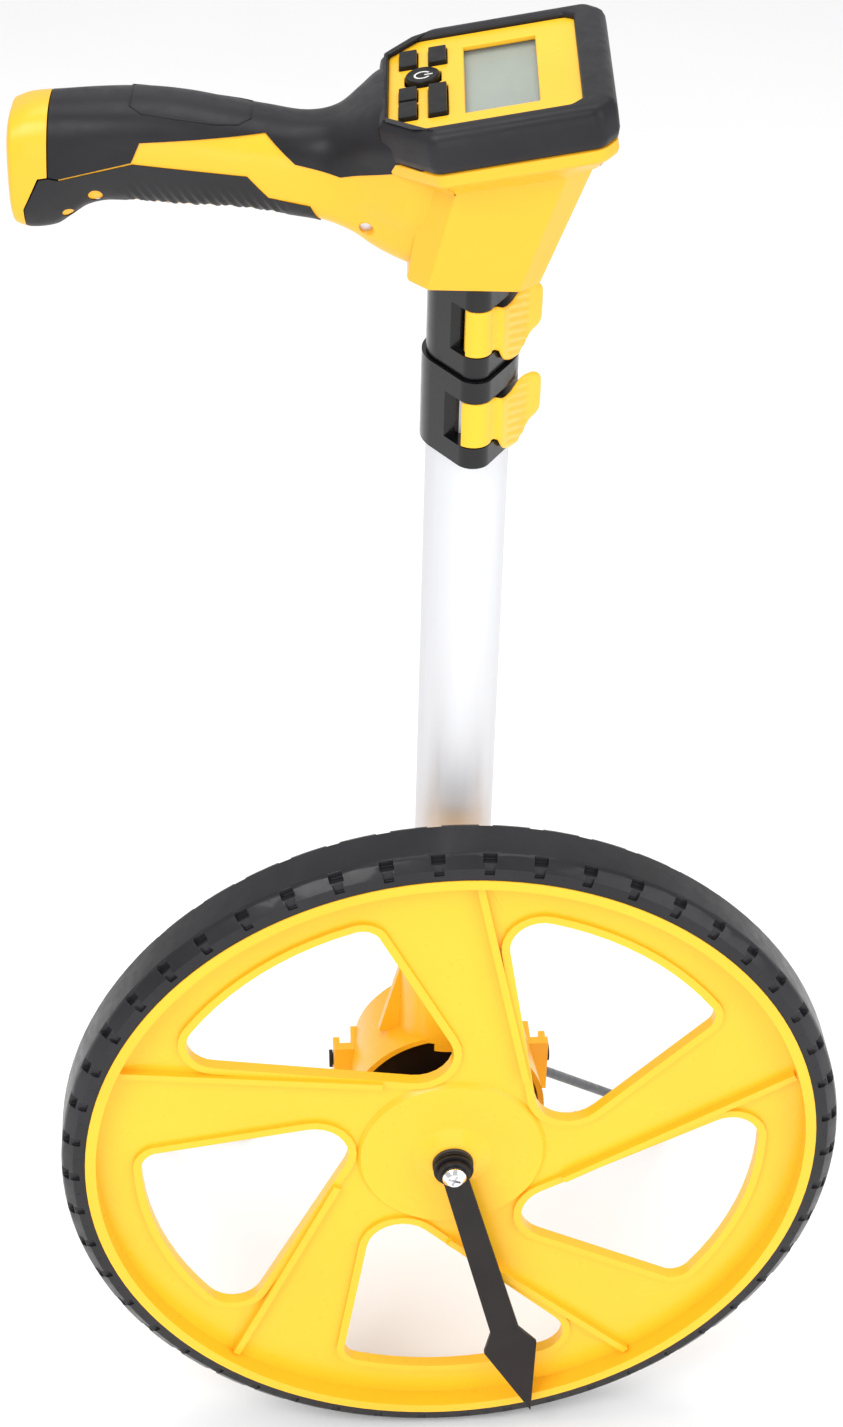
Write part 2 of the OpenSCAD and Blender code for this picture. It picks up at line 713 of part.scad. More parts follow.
module grip_lower() color([0.15, 0.15, 0.16]) in_head() difference() {
    intersection() {
        grip_shape(grip_half_w);
        side_slab(grip_half_w + 1) polygon(lower_zone);
    }
    side_slab(grip_half_w + 1) polygon(cap_zone);
    side_slab(grip_half_w + 1) polygon(strip_outline);
    core_shape();
    neck_shape(0);
    // Row of finger scallops under the grip
    for (i = [0:6]) translate([-112 + i * 7, 0, 561.6 + z_shift]) rotate([90, 0, 0])
        cylinder(r = 3.2, h = 60, center = true, $fn = 32);
    lanyard_hole();
    battery_bore();
    screw_places() translate([0, 0, screw_len / 2 + 1]) cylinder(r = 2.5, h = 10, $fn = 32);
}

lanyard_x = -137.5;
lanyard_z = 564 + z_shift;
lanyard_r = 2;
module lanyard_hole() translate([lanyard_x, 0, lanyard_z]) rotate([90, 0, 0])
    cylinder(r = lanyard_r, h = 60, center = true);

module butt_cap() color("gold") in_head() difference() {
    intersection() {
        grip_shape(grip_half_w);
        side_slab(grip_half_w + 1) polygon(cap_zone);
    }
    battery_bore();
}

module cap_spring() color("silver") in_head() on_cells(-155) {
    cylinder(r = 6, h = 0.8);
    cylinder(r1 = 5, r2 = 2.5, h = 15.6);
}

module batteries() color("steelblue") in_head() for (i = [0, 1])
    on_cells(-139 + i * (cell_len + 0.5)) {
        cylinder(r = cell_r, h = cell_len - 1.5);
        cylinder(r = 2.7, h = cell_len);
    }

module battery_contact() color("silver") in_head()
    on_cells(-37.4) cylinder(r = 6, h = 16.4);

module bumper() color([0.15, 0.15, 0.16]) on_face() difference() {
    h_top = 2;
    side = bumper_half_w;
    translate([0, 0, -13.5]) linear_extrude(13.5 + h_top)
        polygon([[-42, -27], [-24, -side], [30, -side], [37, -side + 7], [37, side - 7],
                 [30, side], [-24, side], [-42, 27]]);
    translate([0, 0, -15]) linear_extrude(30) polygon(tray_outline);
    translate([-60, -26.8, -20]) cube([25, 53.6, 30]);
}

// Keys: [centre along the face, centre across, half length, half width]
key_cells = [
    [-31.1, 21.4, 3, 6.4], [-21.1, 21.4, 3, 6.4], [-26.2, 5.8, 6, 7],
    [-31.1, -7.6, 3, 5], [-31.1, -20.2, 3, 6], [-21.1, -14.6, 3, 11.8]
];
key_travel = 1.2;
round_key = 2;

module key_plan(k, grow) {
    c = key_cells[k];
    translate([c[0], c[1]]) {
        intersection() {
            square([2 * (c[2] + grow), 2 * (c[3] + grow)], center = true);
            if (k == round_key) circle(r = c[3] + grow - 0.1);
        }
    }
}

module faceplate() color("gold") on_face() difference() {
    translate([0, 0, -2]) linear_extrude(2) polygon(plate_outline);
    translate([-12.3, -27, -5]) cube([24.6, 54, 10]);
    for (k = [0:5]) translate([0, 0, -5]) linear_extrude(10) key_plan(k, 0.3);
}

module display_lens() color("lightblue") on_face() translate([-14, -29, -3.4]) cube([28, 58, 1.4]);
module display_module() color("darkseagreen") on_face() translate([-14, -29, -7.4]) cube([28, 58, 4]);
module main_board() color("seagreen") on_face() translate([0, 0, -10.6])
    linear_extrude(1.6) polygon([for (p = room_outline) p * 0.95]);
board_gap = 9 - 3.4 - key_travel - 0.3;
module key_mat() color("dimgray") on_face() translate([-34.4, -26, -9]) cube([17, 53.4, board_gap]);

module board_lead() color("black") in_head() translate([0, 0, neck_z + 12])
    cylinder(r = 1.5, h = face_z - neck_z - 26, $fn = 24);

module key(k) color([0.12, 0.12, 0.13]) on_face() {
    translate([0, 0, -3.4]) linear_extrude(5) key_plan(k, 0);
    translate([0, 0, -3.4]) linear_extrude(1.3) key_plan(k, 0.6);
}

module key_hold() key(0);
module key_units() key(1);
module key_power() key(2);
module key_save() key(3);
module key_clear() key(4);
module key_memory() key(5);

yoke_housing();
rear_cover();
cover_screws();
axle();
axle_nut();
axle_spacer();
sensor_board();
sensor_lead();
outer_tube();
tube_screw();
lower_clamp();
lower_lever_pin();
pointer_spacer();
axle_screw();
wheel();
tyre();
hub_bushes();
magnet_ring();
pointer();
stand_leg_left();
stand_leg_right();
stand_shaft();
stand_feet();
lower_lever();
middle_tube();
middle_bush();
upper_clamp();
upper_lever_pin();
coiled_lead();
upper_lever();
inner_tube();
inner_bush();
housing_near();
housing_far();
housing_screws();
grip_upper();
grip_lower();
bumper();
faceplate();
display_lens();
display_module();
main_board();
key_mat();
board_lead();
batteries();
battery_contact();
butt_cap();
cap_spring();
key_hold();
key_units();
key_power();
key_save();
key_clear();
key_memory();
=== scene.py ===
"""Looks of the measuring wheel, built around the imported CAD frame. Metres, Z up."""

import math

import bpy
from mathutils import Matrix, Vector


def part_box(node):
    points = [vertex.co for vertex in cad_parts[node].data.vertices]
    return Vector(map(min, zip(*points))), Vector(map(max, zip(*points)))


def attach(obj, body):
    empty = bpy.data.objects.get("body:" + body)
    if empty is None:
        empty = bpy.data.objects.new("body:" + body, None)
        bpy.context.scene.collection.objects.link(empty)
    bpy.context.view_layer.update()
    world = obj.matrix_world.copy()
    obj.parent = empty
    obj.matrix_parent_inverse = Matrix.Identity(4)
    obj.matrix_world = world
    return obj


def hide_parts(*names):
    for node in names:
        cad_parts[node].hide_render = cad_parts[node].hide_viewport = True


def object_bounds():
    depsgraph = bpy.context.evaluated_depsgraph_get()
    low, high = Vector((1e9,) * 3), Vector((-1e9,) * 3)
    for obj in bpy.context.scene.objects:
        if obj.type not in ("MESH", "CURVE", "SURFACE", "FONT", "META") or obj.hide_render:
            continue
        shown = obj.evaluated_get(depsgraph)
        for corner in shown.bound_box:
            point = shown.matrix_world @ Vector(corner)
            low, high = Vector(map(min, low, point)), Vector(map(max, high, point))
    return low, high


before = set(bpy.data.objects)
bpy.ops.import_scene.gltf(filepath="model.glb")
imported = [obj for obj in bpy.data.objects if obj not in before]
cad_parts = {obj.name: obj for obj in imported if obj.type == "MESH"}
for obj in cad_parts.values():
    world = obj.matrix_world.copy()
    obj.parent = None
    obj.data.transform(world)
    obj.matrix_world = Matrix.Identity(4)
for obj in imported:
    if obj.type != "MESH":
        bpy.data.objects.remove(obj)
CAD_LOW, CAD_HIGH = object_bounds()
MM = 0.001


# ---------- places taken from the frame ----------
def middle(node):
    low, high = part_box(node)
    return (low + high) / 2


TUBE = middle("inner_tube")
WHEEL = middle("tyre")
WHEEL_R = (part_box("tyre")[1].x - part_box("tyre")[0].x) / 2
NECK_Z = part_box("housing_near")[0].z
HEAD_TURN = math.radians(-4)
FACE_TILT = math.radians(-11.4)
FACE_X = 6.7 * MM
FACE_Z = NECK_Z + 67.2 * MM
# Height of zero in the side outlines of the grip
OUTLINE_Z = NECK_Z - 544.8 * MM

# HEAD has its origin on the tube's axis, and FACE on the surface of the display plate
HEAD = Matrix.Translation((TUBE.x, TUBE.y, 0)) @ Matrix.Rotation(HEAD_TURN, 4, "Z")
FACE = HEAD @ Matrix.Translation((FACE_X, 0, FACE_Z)) @ Matrix.Rotation(FACE_TILT, 4, "Y")


# ---------- meshes ----------
def mesh_object(name, points, faces, matrix, material, smooth=True):
    """A new object whose points, in millimetres, are placed by the matrix."""
    mesh = bpy.data.meshes.new(name)
    mesh.from_pydata([matrix @ (Vector(p) * MM) for p in points], [], faces)
    mesh.materials.append(material)
    mesh.validate()
    mesh.update()
    if smooth:
        mesh.shade_smooth()
    obj = bpy.data.objects.new(name, mesh)
    bpy.context.collection.objects.link(obj)
    return obj


def loft(rings):
    """Points and faces of a closed skin through rings with the same number of points."""
    count = len(rings[0])
    points = [p for ring in rings for p in ring]
    faces = []
    for r in range(len(rings) - 1):
        for i in range(count):
            j = (i + 1) % count
            faces.append((r * count + i, r * count + j, (r + 1) * count + j, (r + 1) * count + i))
    for first, flip in ((0, True), ((len(rings) - 1) * count, False)):
        ring = list(range(first, first + count))
        faces.append(tuple(reversed(ring)) if flip else tuple(ring))
    return points, faces


def joined_loft(rings):
    """Points and faces of a skin whose last ring joins its first."""
    count = len(rings[0])
    points = [p for ring in rings for p in ring]
    faces = []
    for r in range(len(rings)):
        n = (r + 1) % len(rings)
        for i in range(count):
            j = (i + 1) % count
            faces.append((r * count + i, n * count + i, n * count + j, r * count + j))
    return points, faces


def circle(around):
    """Cosine and sine of evenly spaced turns."""
    turns = [2 * math.pi * i / around for i in range(around)]
    return [(math.cos(turn), math.sin(turn)) for turn in turns]


def prism(outline, low, high):
    """A straight extrusion of an XY outline."""
    return loft([[(x, y, low) for x, y in outline], [(x, y, high) for x, y in outline]])


def rounded(corners, steps=6):
    """Outline with round corners. Each corner is (x, y, radius), in order round the outline."""
    outline = []
    count = len(corners)
    for i, (x, y, radius) in enumerate(corners):
        here = Vector((x, y))
        before = (Vector(corners[i - 1][:2]) - here).normalized()
        after = (Vector(corners[(i + 1) % count][:2]) - here).normalized()
        half = before.angle(after) / 2
        reach = radius / math.tan(half)
        centre = here + (before + after).normalized() * (radius / math.sin(half))
        start = here + before * reach - centre
        end = here + after * reach - centre
        turn = math.atan2(start.x * end.y - start.y * end.x, start.dot(end))
        for s in range(steps + 1):
            a = turn * s / steps
            outline.append((
                centre.x + start.x * math.cos(a) - start.y * math.sin(a),
                centre.y + start.x * math.sin(a) + start.y * math.cos(a),
            ))
    return outline


def mirrored(corners, steps=6):
    """Rounded outline from the corners of its -Y side, in rising order of X."""
    other_side = [(x, -y, radius) for x, y, radius in reversed(corners)]
    return rounded(corners + other_side, steps)


def inset(outline, distance):
    """The outline moved inwards. It runs anticlockwise."""
    moved = []
    count = len(outline)
    for i in range(count):
        a, b, c = (Vector(outline[(i + k) % count]) for k in (-1, 0, 1))
        first, second = (b - a).normalized(), (c - b).normalized()
        normal = Vector((-first.y - second.y, first.x + second.x)).normalized()
        stretch = max(0.5, normal.dot(Vector((-first.y, first.x))))
        moved.append(tuple(b + normal * (distance / stretch)))
    return moved


def soft_prism(outline, low, high, edge, steps=3):
    """An extrusion whose two rims are rounded with the given radius."""
    rings = []
    for s in range(steps + 1):
        a = math.pi / 2 * s / steps
        shape = inset(outline, edge * (1 - math.sin(a)))
        rings.append([(x, y, low + edge * (1 - math.cos(a))) for x, y in shape])
    for s in range(steps + 1):
        a = math.pi / 2 * s / steps
        shape = inset(outline, edge * (1 - math.cos(a)))
        rings.append([(x, y, high - edge * (1 - math.sin(a))) for x, y in shape])
    return loft(rings)


def ease(values, x):
    """Smooth value at x through (x, value) pairs in rising order of x."""
    if x <= values[0][0]:
        return values[0][1]
    for i in range(len(values) - 1):
        (x0, v0), (x1, v1) = values[i], values[i + 1]
        if x <= x1:
            before = values[i - 1] if i else (x0 - (x1 - x0), v0)
            after = values[i + 2] if i + 2 < len(values) else (x1 + (x1 - x0), v1)
            m0 = (v1 - before[1]) / (x1 - before[0]) * (x1 - x0)
            m1 = (after[1] - v0) / (after[0] - x0) * (x1 - x0)
            t = (x - x0) / (x1 - x0)
            return (
                v0 * (2 * t**3 - 3 * t**2 + 1) + m0 * (t**3 - 2 * t**2 + t)
                + v1 * (-2 * t**3 + 3 * t**2) + m1 * (t**3 - t**2)
            )
    return values[-1][1]


def add(obj, kind, name, **values):
    """A modifier with the given settings."""
    modifier = obj.modifiers.new(name, kind)
    for key, value in values.items():
        setattr(modifier, key, value)
    return modifier


def even_shading(obj):
    add(obj, "WEIGHTED_NORMAL", "normals", weight=60)


def soften(obj, width, angle=32, weld=False):
    """Rounds the sharp edges with modifiers and evens out the shading."""
    if weld:
        add(obj, "WELD", "weld", merge_threshold=1e-6)
    add(obj, "BEVEL", "bevel", width=width * MM, segments=2, limit_method="ANGLE",
        angle_limit=math.radians(angle), use_clamp_overlap=True, miter_outer="MITER_ARC")
    even_shading(obj)


def cut(obj, tool, operation):
    add(obj, "BOOLEAN", "cut", object=tool, operation=operation, solver="EXACT")


# ---------- materials ----------
# Most values of a noise texture lie between these two
NOISE_LOW, NOISE_HIGH = 0.3, 0.7


class Paint:
    """A principled material built up from procedural nodes."""

    def __init__(self, name, color, rough, metal=0.0):
        self.material = bpy.data.materials.new(name)
        self.material.use_nodes = True
        self.tree = self.material.node_tree
        self.shader = self.tree.nodes["Principled BSDF"]
        self.color = color
        self.place = self.tree.nodes.new("ShaderNodeTexCoord").outputs["Object"]
        self.shader.inputs["Metallic"].default_value = metal
        self.shader.inputs["Base Color"].default_value = (*color, 1)
        self.shader.inputs["Roughness"].default_value = rough
        self.rough = rough

    def node(self, kind, **values):
        made = self.tree.nodes.new(kind)
        for key, value in values.items():
            setattr(made, key, value)
        return made

    def link(self, a, b):
        self.tree.links.new(a, b)

    def noise(self, scale, detail=3.0, stretch=None):
        source = self.place
        if stretch:
            mapping = self.node("ShaderNodeMapping")
            mapping.inputs["Scale"].default_value = stretch
            self.link(source, mapping.inputs["Vector"])
            source = mapping.outputs["Vector"]
        made = self.node("ShaderNodeTexNoise")
        made.inputs["Scale"].default_value = scale
        made.inputs["Detail"].default_value = detail
        self.link(source, made.inputs["Vector"])
        return made.outputs["Fac"]

    def spread(self, value, low, high):
        """Maps a noise value onto the range from low to high."""
        made = self.node("ShaderNodeMapRange")
        made.inputs["From Min"].default_value = NOISE_LOW
        made.inputs["From Max"].default_value = NOISE_HIGH
        made.inputs["To Min"].default_value = low
        made.inputs["To Max"].default_value = high
        self.link(value, made.inputs["Value"])
        return made.outputs["Result"]

    def vary_color(self, scale, amount, stretch=None):
        """Drifts between two shades of the colour over the surface."""
        mix = self.node("ShaderNodeMix", data_type="RGBA")
        low = [c * (1 - amount) for c in self.color]
        high = [min(1, c * (1 + amount)) for c in self.color]
        mix.inputs["A"].default_value = (*low, 1)
        mix.inputs["B"].default_value = (*high, 1)
        self.link(self.spread(self.noise(scale, stretch=stretch), 0, 1), mix.inputs["Factor"])
        self.link(mix.outputs["Result"], self.shader.inputs["Base Color"])
        return self

    def vary_rough(self, scale, amount, stretch=None):
        """Drifts the roughness up and down by the amount over the surface."""
        value = self.spread(
            self.noise(scale, detail=5, stretch=stretch), self.rough - amount, self.rough + amount
        )
        self.link(value, self.shader.inputs["Roughness"])
        return self

    def bump(self, height, strength, distance):
        made = self.node("ShaderNodeBump")
        made.inputs["Strength"].default_value = strength
        made.inputs["Distance"].default_value = distance * MM
        self.link(height, made.inputs["Height"])
        self.link(made.outputs["Normal"], self.shader.inputs["Normal"])
        return self

    def grain(self, size, strength, stretch=None):
        """Fine relief. The size is in millimetres."""
        return self.bump(self.noise(1 / (size * MM), 2, stretch), strength, size / 4)

    def coat(self, amount, rough):
        self.shader.inputs["Coat Weight"].default_value = amount
        self.shader.inputs["Coat Roughness"].default_value = rough
        return self


def yellow(name, color, rough=0.32):
    paint = Paint(name, color, rough)
    paint.vary_color(14, 0.035).vary_rough(160, 0.06)
    paint.grain(0.5, 0.04).coat(0.15, 0.22)
    paint.shader.inputs["Specular IOR Level"].default_value = 0.35
    return paint.material


def dark(name, shade, rough, grain_size=0.35, grain_strength=0.15, coat=0.0):
    paint = Paint(name, shade, rough)
    paint.vary_color(25, 0.25).vary_rough(220, 0.07).grain(grain_size, grain_strength)
    paint.shader.inputs["Specular IOR Level"].default_value = 0.22
    if coat:
        paint.coat(coat, 0.12)
    return paint.material


def metal(name, color, rough, stretch=None, amount=0.08, metallic=1.0):
    paint = Paint(name, color, rough, metal=metallic)
    paint.vary_color(8, 0.04, stretch=stretch).vary_rough(600 if stretch else 250, amount, stretch)
    paint.grain(0.4, 0.06, stretch)
    return paint.material


def ribbed_rubber():
    """Overmould of the lower grip, a little rougher than the rest."""
    paint = Paint("lower_grip_rubber", (0.018, 0.018, 0.020), 0.5)
    paint.vary_color(25, 0.25).vary_rough(200, 0.08)
    paint.shader.inputs["Specular IOR Level"].default_value = 0.3
    return paint.grain(0.3, 0.12).material


YELLOW = yellow("wheel_yellow", (0.98, 0.53, 0.022))
ORANGE = yellow("grip_yellow", (0.96, 0.47, 0.020), 0.36)
OVERMOULD = dark("overmould", (0.016, 0.0155, 0.018), 0.4, 0.3, 0.12)
RIBBED = ribbed_rubber()
TYRE = dark("tyre_rubber", (0.013, 0.0125, 0.015), 0.38, 0.45, 0.14, 0.2)
CLAMP = dark("clamp_black", (0.006, 0.006, 0.007), 0.24, 0.6, 0.03, 0.3)
BLACK = dark("black_plastic", (0.012, 0.010, 0.011), 0.4)
KEY = dark("key_black", (0.006, 0.006, 0.007), 0.4, 0.25, 0.08)
FOOT = dark("foot_rubber", (0.014, 0.014, 0.014), 0.55)
NYLON = dark("bush_nylon", (0.05, 0.05, 0.055), 0.5)
MAGNET = dark("magnet_ferrite", (0.06, 0.06, 0.065), 0.6)
CABLE = dark("cable_jacket", (0.01, 0.01, 0.01), 0.45)
SILICONE = dark("silicone", (0.04, 0.04, 0.042), 0.6)
ALUMINIUM = metal("tube_aluminium", (0.70, 0.705, 0.73), 0.5, stretch=(1, 1, 0.02), metallic=0.45)
STEEL = metal("zinc_steel", (0.6, 0.6, 0.62), 0.3)
CHROME = metal("bright_chrome", (0.85, 0.86, 0.88), 0.1, amount=0.04)
STAND = metal("stand_steel", (0.09, 0.095, 0.105), 0.34)
# Near-black brown colour of the boards is painted shade: it stands for the deep shade inside the
# drum, seen through its opening.
SHADE_BOARD = dark("circuit_board", (0.012, 0.006, 0.004), 0.5)
SLEEVE = dark("cell_sleeve", (0.02, 0.06, 0.2), 0.3)


def panel_material():
    """Blank liquid crystal panel, grey-green with a faint sheen."""
    paint = Paint("display_panel", (0.30, 0.345, 0.30), 0.35)
    paint.vary_color(30, 0.05).vary_rough(300, 0.05).grain(0.3, 0.02)
    return paint.material


def window_material():
    """Clear window in front of the panel."""
    paint = Paint("display_window", (0.8, 0.84, 0.8), 0.06)
    paint.vary_rough(90, 0.03)
    paint.shader.inputs["Alpha"].default_value = 0.12
    return paint.material


PANEL = panel_material()
WINDOW = window_material()
MARK = dark("key_mark", (0.75, 0.75, 0.74), 0.5, 0.3, 0.03)

NODE_MATERIALS = {
    YELLOW: ["wheel", "yoke_housing", "lower_lever", "upper_lever", "faceplate"],
    ORANGE: ["housing_near", "housing_far", "butt_cap"],
    OVERMOULD: ["grip_upper", "grip_lower", "bumper"],
    TYRE: ["tyre"],
    CLAMP: ["lower_clamp", "upper_clamp"],
    BLACK: ["pointer", "pointer_spacer", "rear_cover", "stand_shaft"],
    KEY: ["key_hold", "key_units", "key_power", "key_save", "key_clear", "key_memory"],
    FOOT: ["stand_feet"],
    NYLON: ["hub_bushes", "middle_bush", "inner_bush"],
    MAGNET: ["magnet_ring"],
    CABLE: ["sensor_lead", "coiled_lead", "board_lead"],
    SILICONE: ["key_mat"],
    ALUMINIUM: ["outer_tube", "middle_tube", "inner_tube"],
    STEEL: ["axle", "axle_nut", "axle_spacer", "cover_screws", "tube_screw", "lower_lever_pin",
            "upper_lever_pin", "housing_screws", "battery_contact", "cap_spring"],
    CHROME: ["axle_screw"],
    STAND: ["stand_leg_left", "stand_leg_right"],
    SHADE_BOARD: ["sensor_board", "main_board"],
    SLEEVE: ["batteries"],
    PANEL: ["display_module"],
    WINDOW: ["display_lens"],
}
# Width of the rounded edges in millimetres
BEVELS = {
    "wheel": 0.6, "yoke_housing": 0.7, "lower_lever": 0.8, "upper_lever": 0.8, "faceplate": 0.5,
    "lower_clamp": 0.6, "upper_clamp": 0.6, "pointer": 0.35, "pointer_spacer": 0.2,
    "tyre": 0.35, "axle_screw": 0.2, "rear_cover": 0.5, "magnet_ring": 0.4, "stand_feet": 0.5,
    "key_hold": 0.5, "key_units": 0.5, "key_power": 0.5, "key_save": 0.5, "key_clear": 0.5,
    "key_memory": 0.5, "outer_tube": 0.2, "middle_tube": 0.2, "axle": 0.2, "stand_shaft": 0.3,
}


def finish_nodes():
    """Gives every CAD node its material, and its rounded edges where they are seen."""
    for material, nodes in NODE_MATERIALS.items():
        for node in nodes:
            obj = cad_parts[node]
            obj.data.materials.clear()
            obj.data.materials.append(material)
            if node in BEVELS:
                soften(obj, BEVELS[node], weld=True)


# ---------- grip ----------
# Side outline of the grip: place along it and height, in millimetres
GRIP_TOP = [
    (-159, 596), (-150, 599.6), (-139, 601), (-113, 602.5), (-98, 601.5), (-84, 599), (-71, 596.8),
    (-58, 595), (-47, 596.8), (-40, 601.5), (-34, 605.6), (-18, 610),
]
GRIP_BOTTOM = [
    (-159, 560), (-155, 557), (-150, 555.6), (-142, 556.6), (-137, 560), (-131, 564.2),
    (-123, 566), (-99, 564.6), (-80, 564), (-62, 561.5), (-51, 559.5), (-42, 556), (-34, 551),
    (-22, 546.5), (-18, 546),
]
# Half width along the grip
GRIP_HALF = [
    (-159, 15.4), (-150, 16.4), (-120, 17), (-100, 17), (-70, 16.4), (-50, 15.6), (-38, 17),
    (-24, 21.5), (-18, 22),
]
# Extra half width of the upper side, where the grip opens out into the bumper
GRIP_FLARE = [(-60, 0), (-50, 1.2), (-42, 6), (-35, 11), (-28, 13), (-18, 14)]
# Power of the section's curve: 2 is an oval, and more is squarer
GRIP_SQUARE = [(-159, 3.2), (-140, 2.7), (-60, 2.7), (-34, 3.6), (-18, 4.2)]
GRIP_END = -158.0
END_ROUND = 2.6
END_POWER = 2.4
RIB_ZONE = (-119.0, -63.0)
RIB_PITCH = 3.5
RIB_DEPTH = 0.4
RIB_SLANT = 9
# Ribs start this far below the middle of the section, and scallops lie under the second limit
RIB_START = 0.12
SCALLOP_START = 0.8
SCALLOP_PITCH = 7.6
SCALLOP_DEPTH = 0.9


def rib_depth(x, side_turn):
    """Depth of the slanting ribs and finger scallops under the lower grip."""
    first, last = RIB_ZONE
    fade = max(0.0, min(1.0, (x - first) / 4, (last - x) / 4))
    if side_turn > -RIB_START or not fade:
        return 0.0
    low = min(1.0, (-side_turn - RIB_START) / 0.3)
    depth = RIB_DEPTH * (0.5 + 0.5 * math.sin(2 * math.pi * (x + RIB_SLANT * side_turn) / RIB_PITCH))
    if side_turn < -SCALLOP_START:
        depth += SCALLOP_DEPTH * (1 - abs(math.sin(math.pi * x / SCALLOP_PITCH)))
    return fade * low * depth


def grip_point(x, turn, shrink=0.0, ribs=False):
    """A point of the grip's skin. The turn runs round the section from the +Y side."""
    top, bottom = ease(GRIP_TOP, x), ease(GRIP_BOTTOM, x)
    half = ease(GRIP_HALF, x)
    deep = min(1.0, (x - GRIP_END) / END_ROUND)
    close = (1 - (1 - deep) ** END_POWER) ** (1 / END_POWER)
    tall = (top - bottom) / 2 * close - shrink
    wide = half * close - shrink
    square = ease(GRIP_SQUARE, x)
    c, s = math.cos(turn), math.sin(turn)
    up = min(1.0, max(0.0, (s + 0.35) / 0.9))
    wide += ease(GRIP_FLARE, x) * up * up * (3 - 2 * up)
    if ribs:
        drop = rib_depth(x, s)
        wide -= drop
        tall -= drop
    y = math.copysign(abs(c) ** (2 / square), c) * wide
    z = math.copysign(abs(s) ** (2 / square), s) * tall
    return (x, y, (top + bottom) / 2 + z + OUTLINE_Z / MM)


def grip_ring(x, shrink, around, ribs):
    """One section of the grip, as a squarish oval, drawn in by shrink."""
    return [grip_point(x, 2 * math.pi * i / around, shrink, ribs) for i in range(around)]


def grip_body(name, shrink, material, start=GRIP_END, end=-18.0, step=1.0, around=96, ribs=False):
    """The whole grip as one closed skin, with closer sections at its round end."""
    stations = []
    x = start + 0.02
    while x < start + END_ROUND:
        stations.append(x)
        x += 0.25 + (x - start) * 0.12
    while x < end:
        stations.append(x)
        x += step
    points, faces = loft([grip_ring(s, shrink, around, ribs) for s in stations])
    return mesh_object(name, points, faces, HEAD, material)


def tube_along(name, path, radius, matrix, material, around=8):
    """A thin closed bead along a closed path."""
    rings = []
    for i in range(len(path)):
        here = Vector(path[i])
        ahead = (Vector(path[(i + 1) % len(path)]) - Vector(path[i - 1])).normalized()
        side = ahead.cross(Vector((0, 0, 1))).normalized()
        up = side.cross(ahead)
        rings.append([here + side * (radius * c) + up * (radius * s) for c, s in circle(around)])
    points, faces = joined_loft(rings)
    return mesh_object(name, points, faces, matrix, material)


def cutter(name, skin, matrix, material=OVERMOULD, smooth=False):
    """A hidden object that shapes others. The skin is its points and faces."""
    points, faces = skin
    obj = mesh_object(name, points, faces, matrix, material, smooth)
    obj.hide_render = True
    obj.hide_viewport = True
    return obj


# Half the length of a cutter that goes right through the grip
CUT_HALF = 40


def drill(name, x, z, radius, y_from, y_to):
    """A cutter for a round hole in the side of the grip."""
    rings = []
    for y in (y_from, y_to):
        rings.append([
            (x + radius * c, y, z + radius * s + OUTLINE_Z / MM) for c, s in circle(32)
        ])
    return cutter(name, loft(rings), HEAD, smooth=True)


def side_prism(name, outline):
    """A cutter: a side outline of the head pushed through from side to side."""
    rings = [[(x, y, z + OUTLINE_Z / MM) for x, z in outline] for y in (CUT_HALF, -CUT_HALF)]
    return cutter(name, loft(rings), HEAD)


def tray_cutter():
    """Space of the display plate and bumper, kept clear of the grip."""
    outline = [(-39, -27), (-28.5, -38), (34, -38), (34, 38), (-28.5, 38), (-39, 27)]
    return cutter("cut_tray", prism(outline, -13, 40), FACE)


# Corners of the thumb line: place along the grip, and turn round its section from the side
THUMB_PAD = [(-116, 1.15), (-112, 0.95), (-100, 0.88), (-88, 0.9), (-80, 1.0), (-76, 1.25)]


def build_thumb_pad():
    """Fine raised line round the thumb rest on top of the grip."""
    near = [grip_point(x, math.pi - a, -0.05) for x, a in THUMB_PAD]
    far = [grip_point(x, a, -0.05) for x, a in THUMB_PAD]
    corners = near + list(reversed(far))
    path = []
    for i, corner in enumerate(corners):
        after = corners[(i + 1) % len(corners)]
        if i in (len(near) - 1, len(corners) - 1):
            x, a = THUMB_PAD[-1] if i == len(near) - 1 else THUMB_PAD[0]
            turns = [math.pi - a + (2 * a - math.pi) * k / 10 for k in range(10)]
            if i == len(corners) - 1:
                turns = [math.pi - turn for turn in turns]
            path += [grip_point(x, turn, -0.05) for turn in turns]
        else:
            path += [tuple(Vector(corner).lerp(Vector(after), k / 4)) for k in range(4)]
    pad = tube_along("grip_thumb_line", path, 0.35, HEAD, OVERMOULD)
    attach(pad, "head")


# Holes and zones below are side outlines of the grip, in the same numbers as GRIP_TOP
SCREW_PLACES = [(-37, 561.5), (-128, 571.2)]
WELL_R = 2.5
WELL_FLOOR = -10.4
LANYARD = (-137.5, 564)
LANYARD_R = 2.0
CORE_SHRINK = 0.45
UPPER_ZONE = [
    (-143.4, 578.5), (-140, 577.9), (-115.5, 584.6), (-112.5, 591.5), (-71, 594), (-61, 584.5),
    (-46, 581), (-20, 590), (-20, 640), (-141.5, 640),
]
LOWER_ZONE = [
    (-146.6, 577.3), (-143.4, 577.9), (-140, 577.3), (-115, 584), (-77, 580.2), (-70, 572.2),
    (-56, 568.8), (-49, 552), (-49, 530), (-151, 530), (-152, 566),
]
CAP_ZONE = [
    (-170, 530), (-151.4, 530), (-152.4, 566), (-147, 577.8), (-143.8, 578.4), (-142, 640),
    (-170, 640),
]


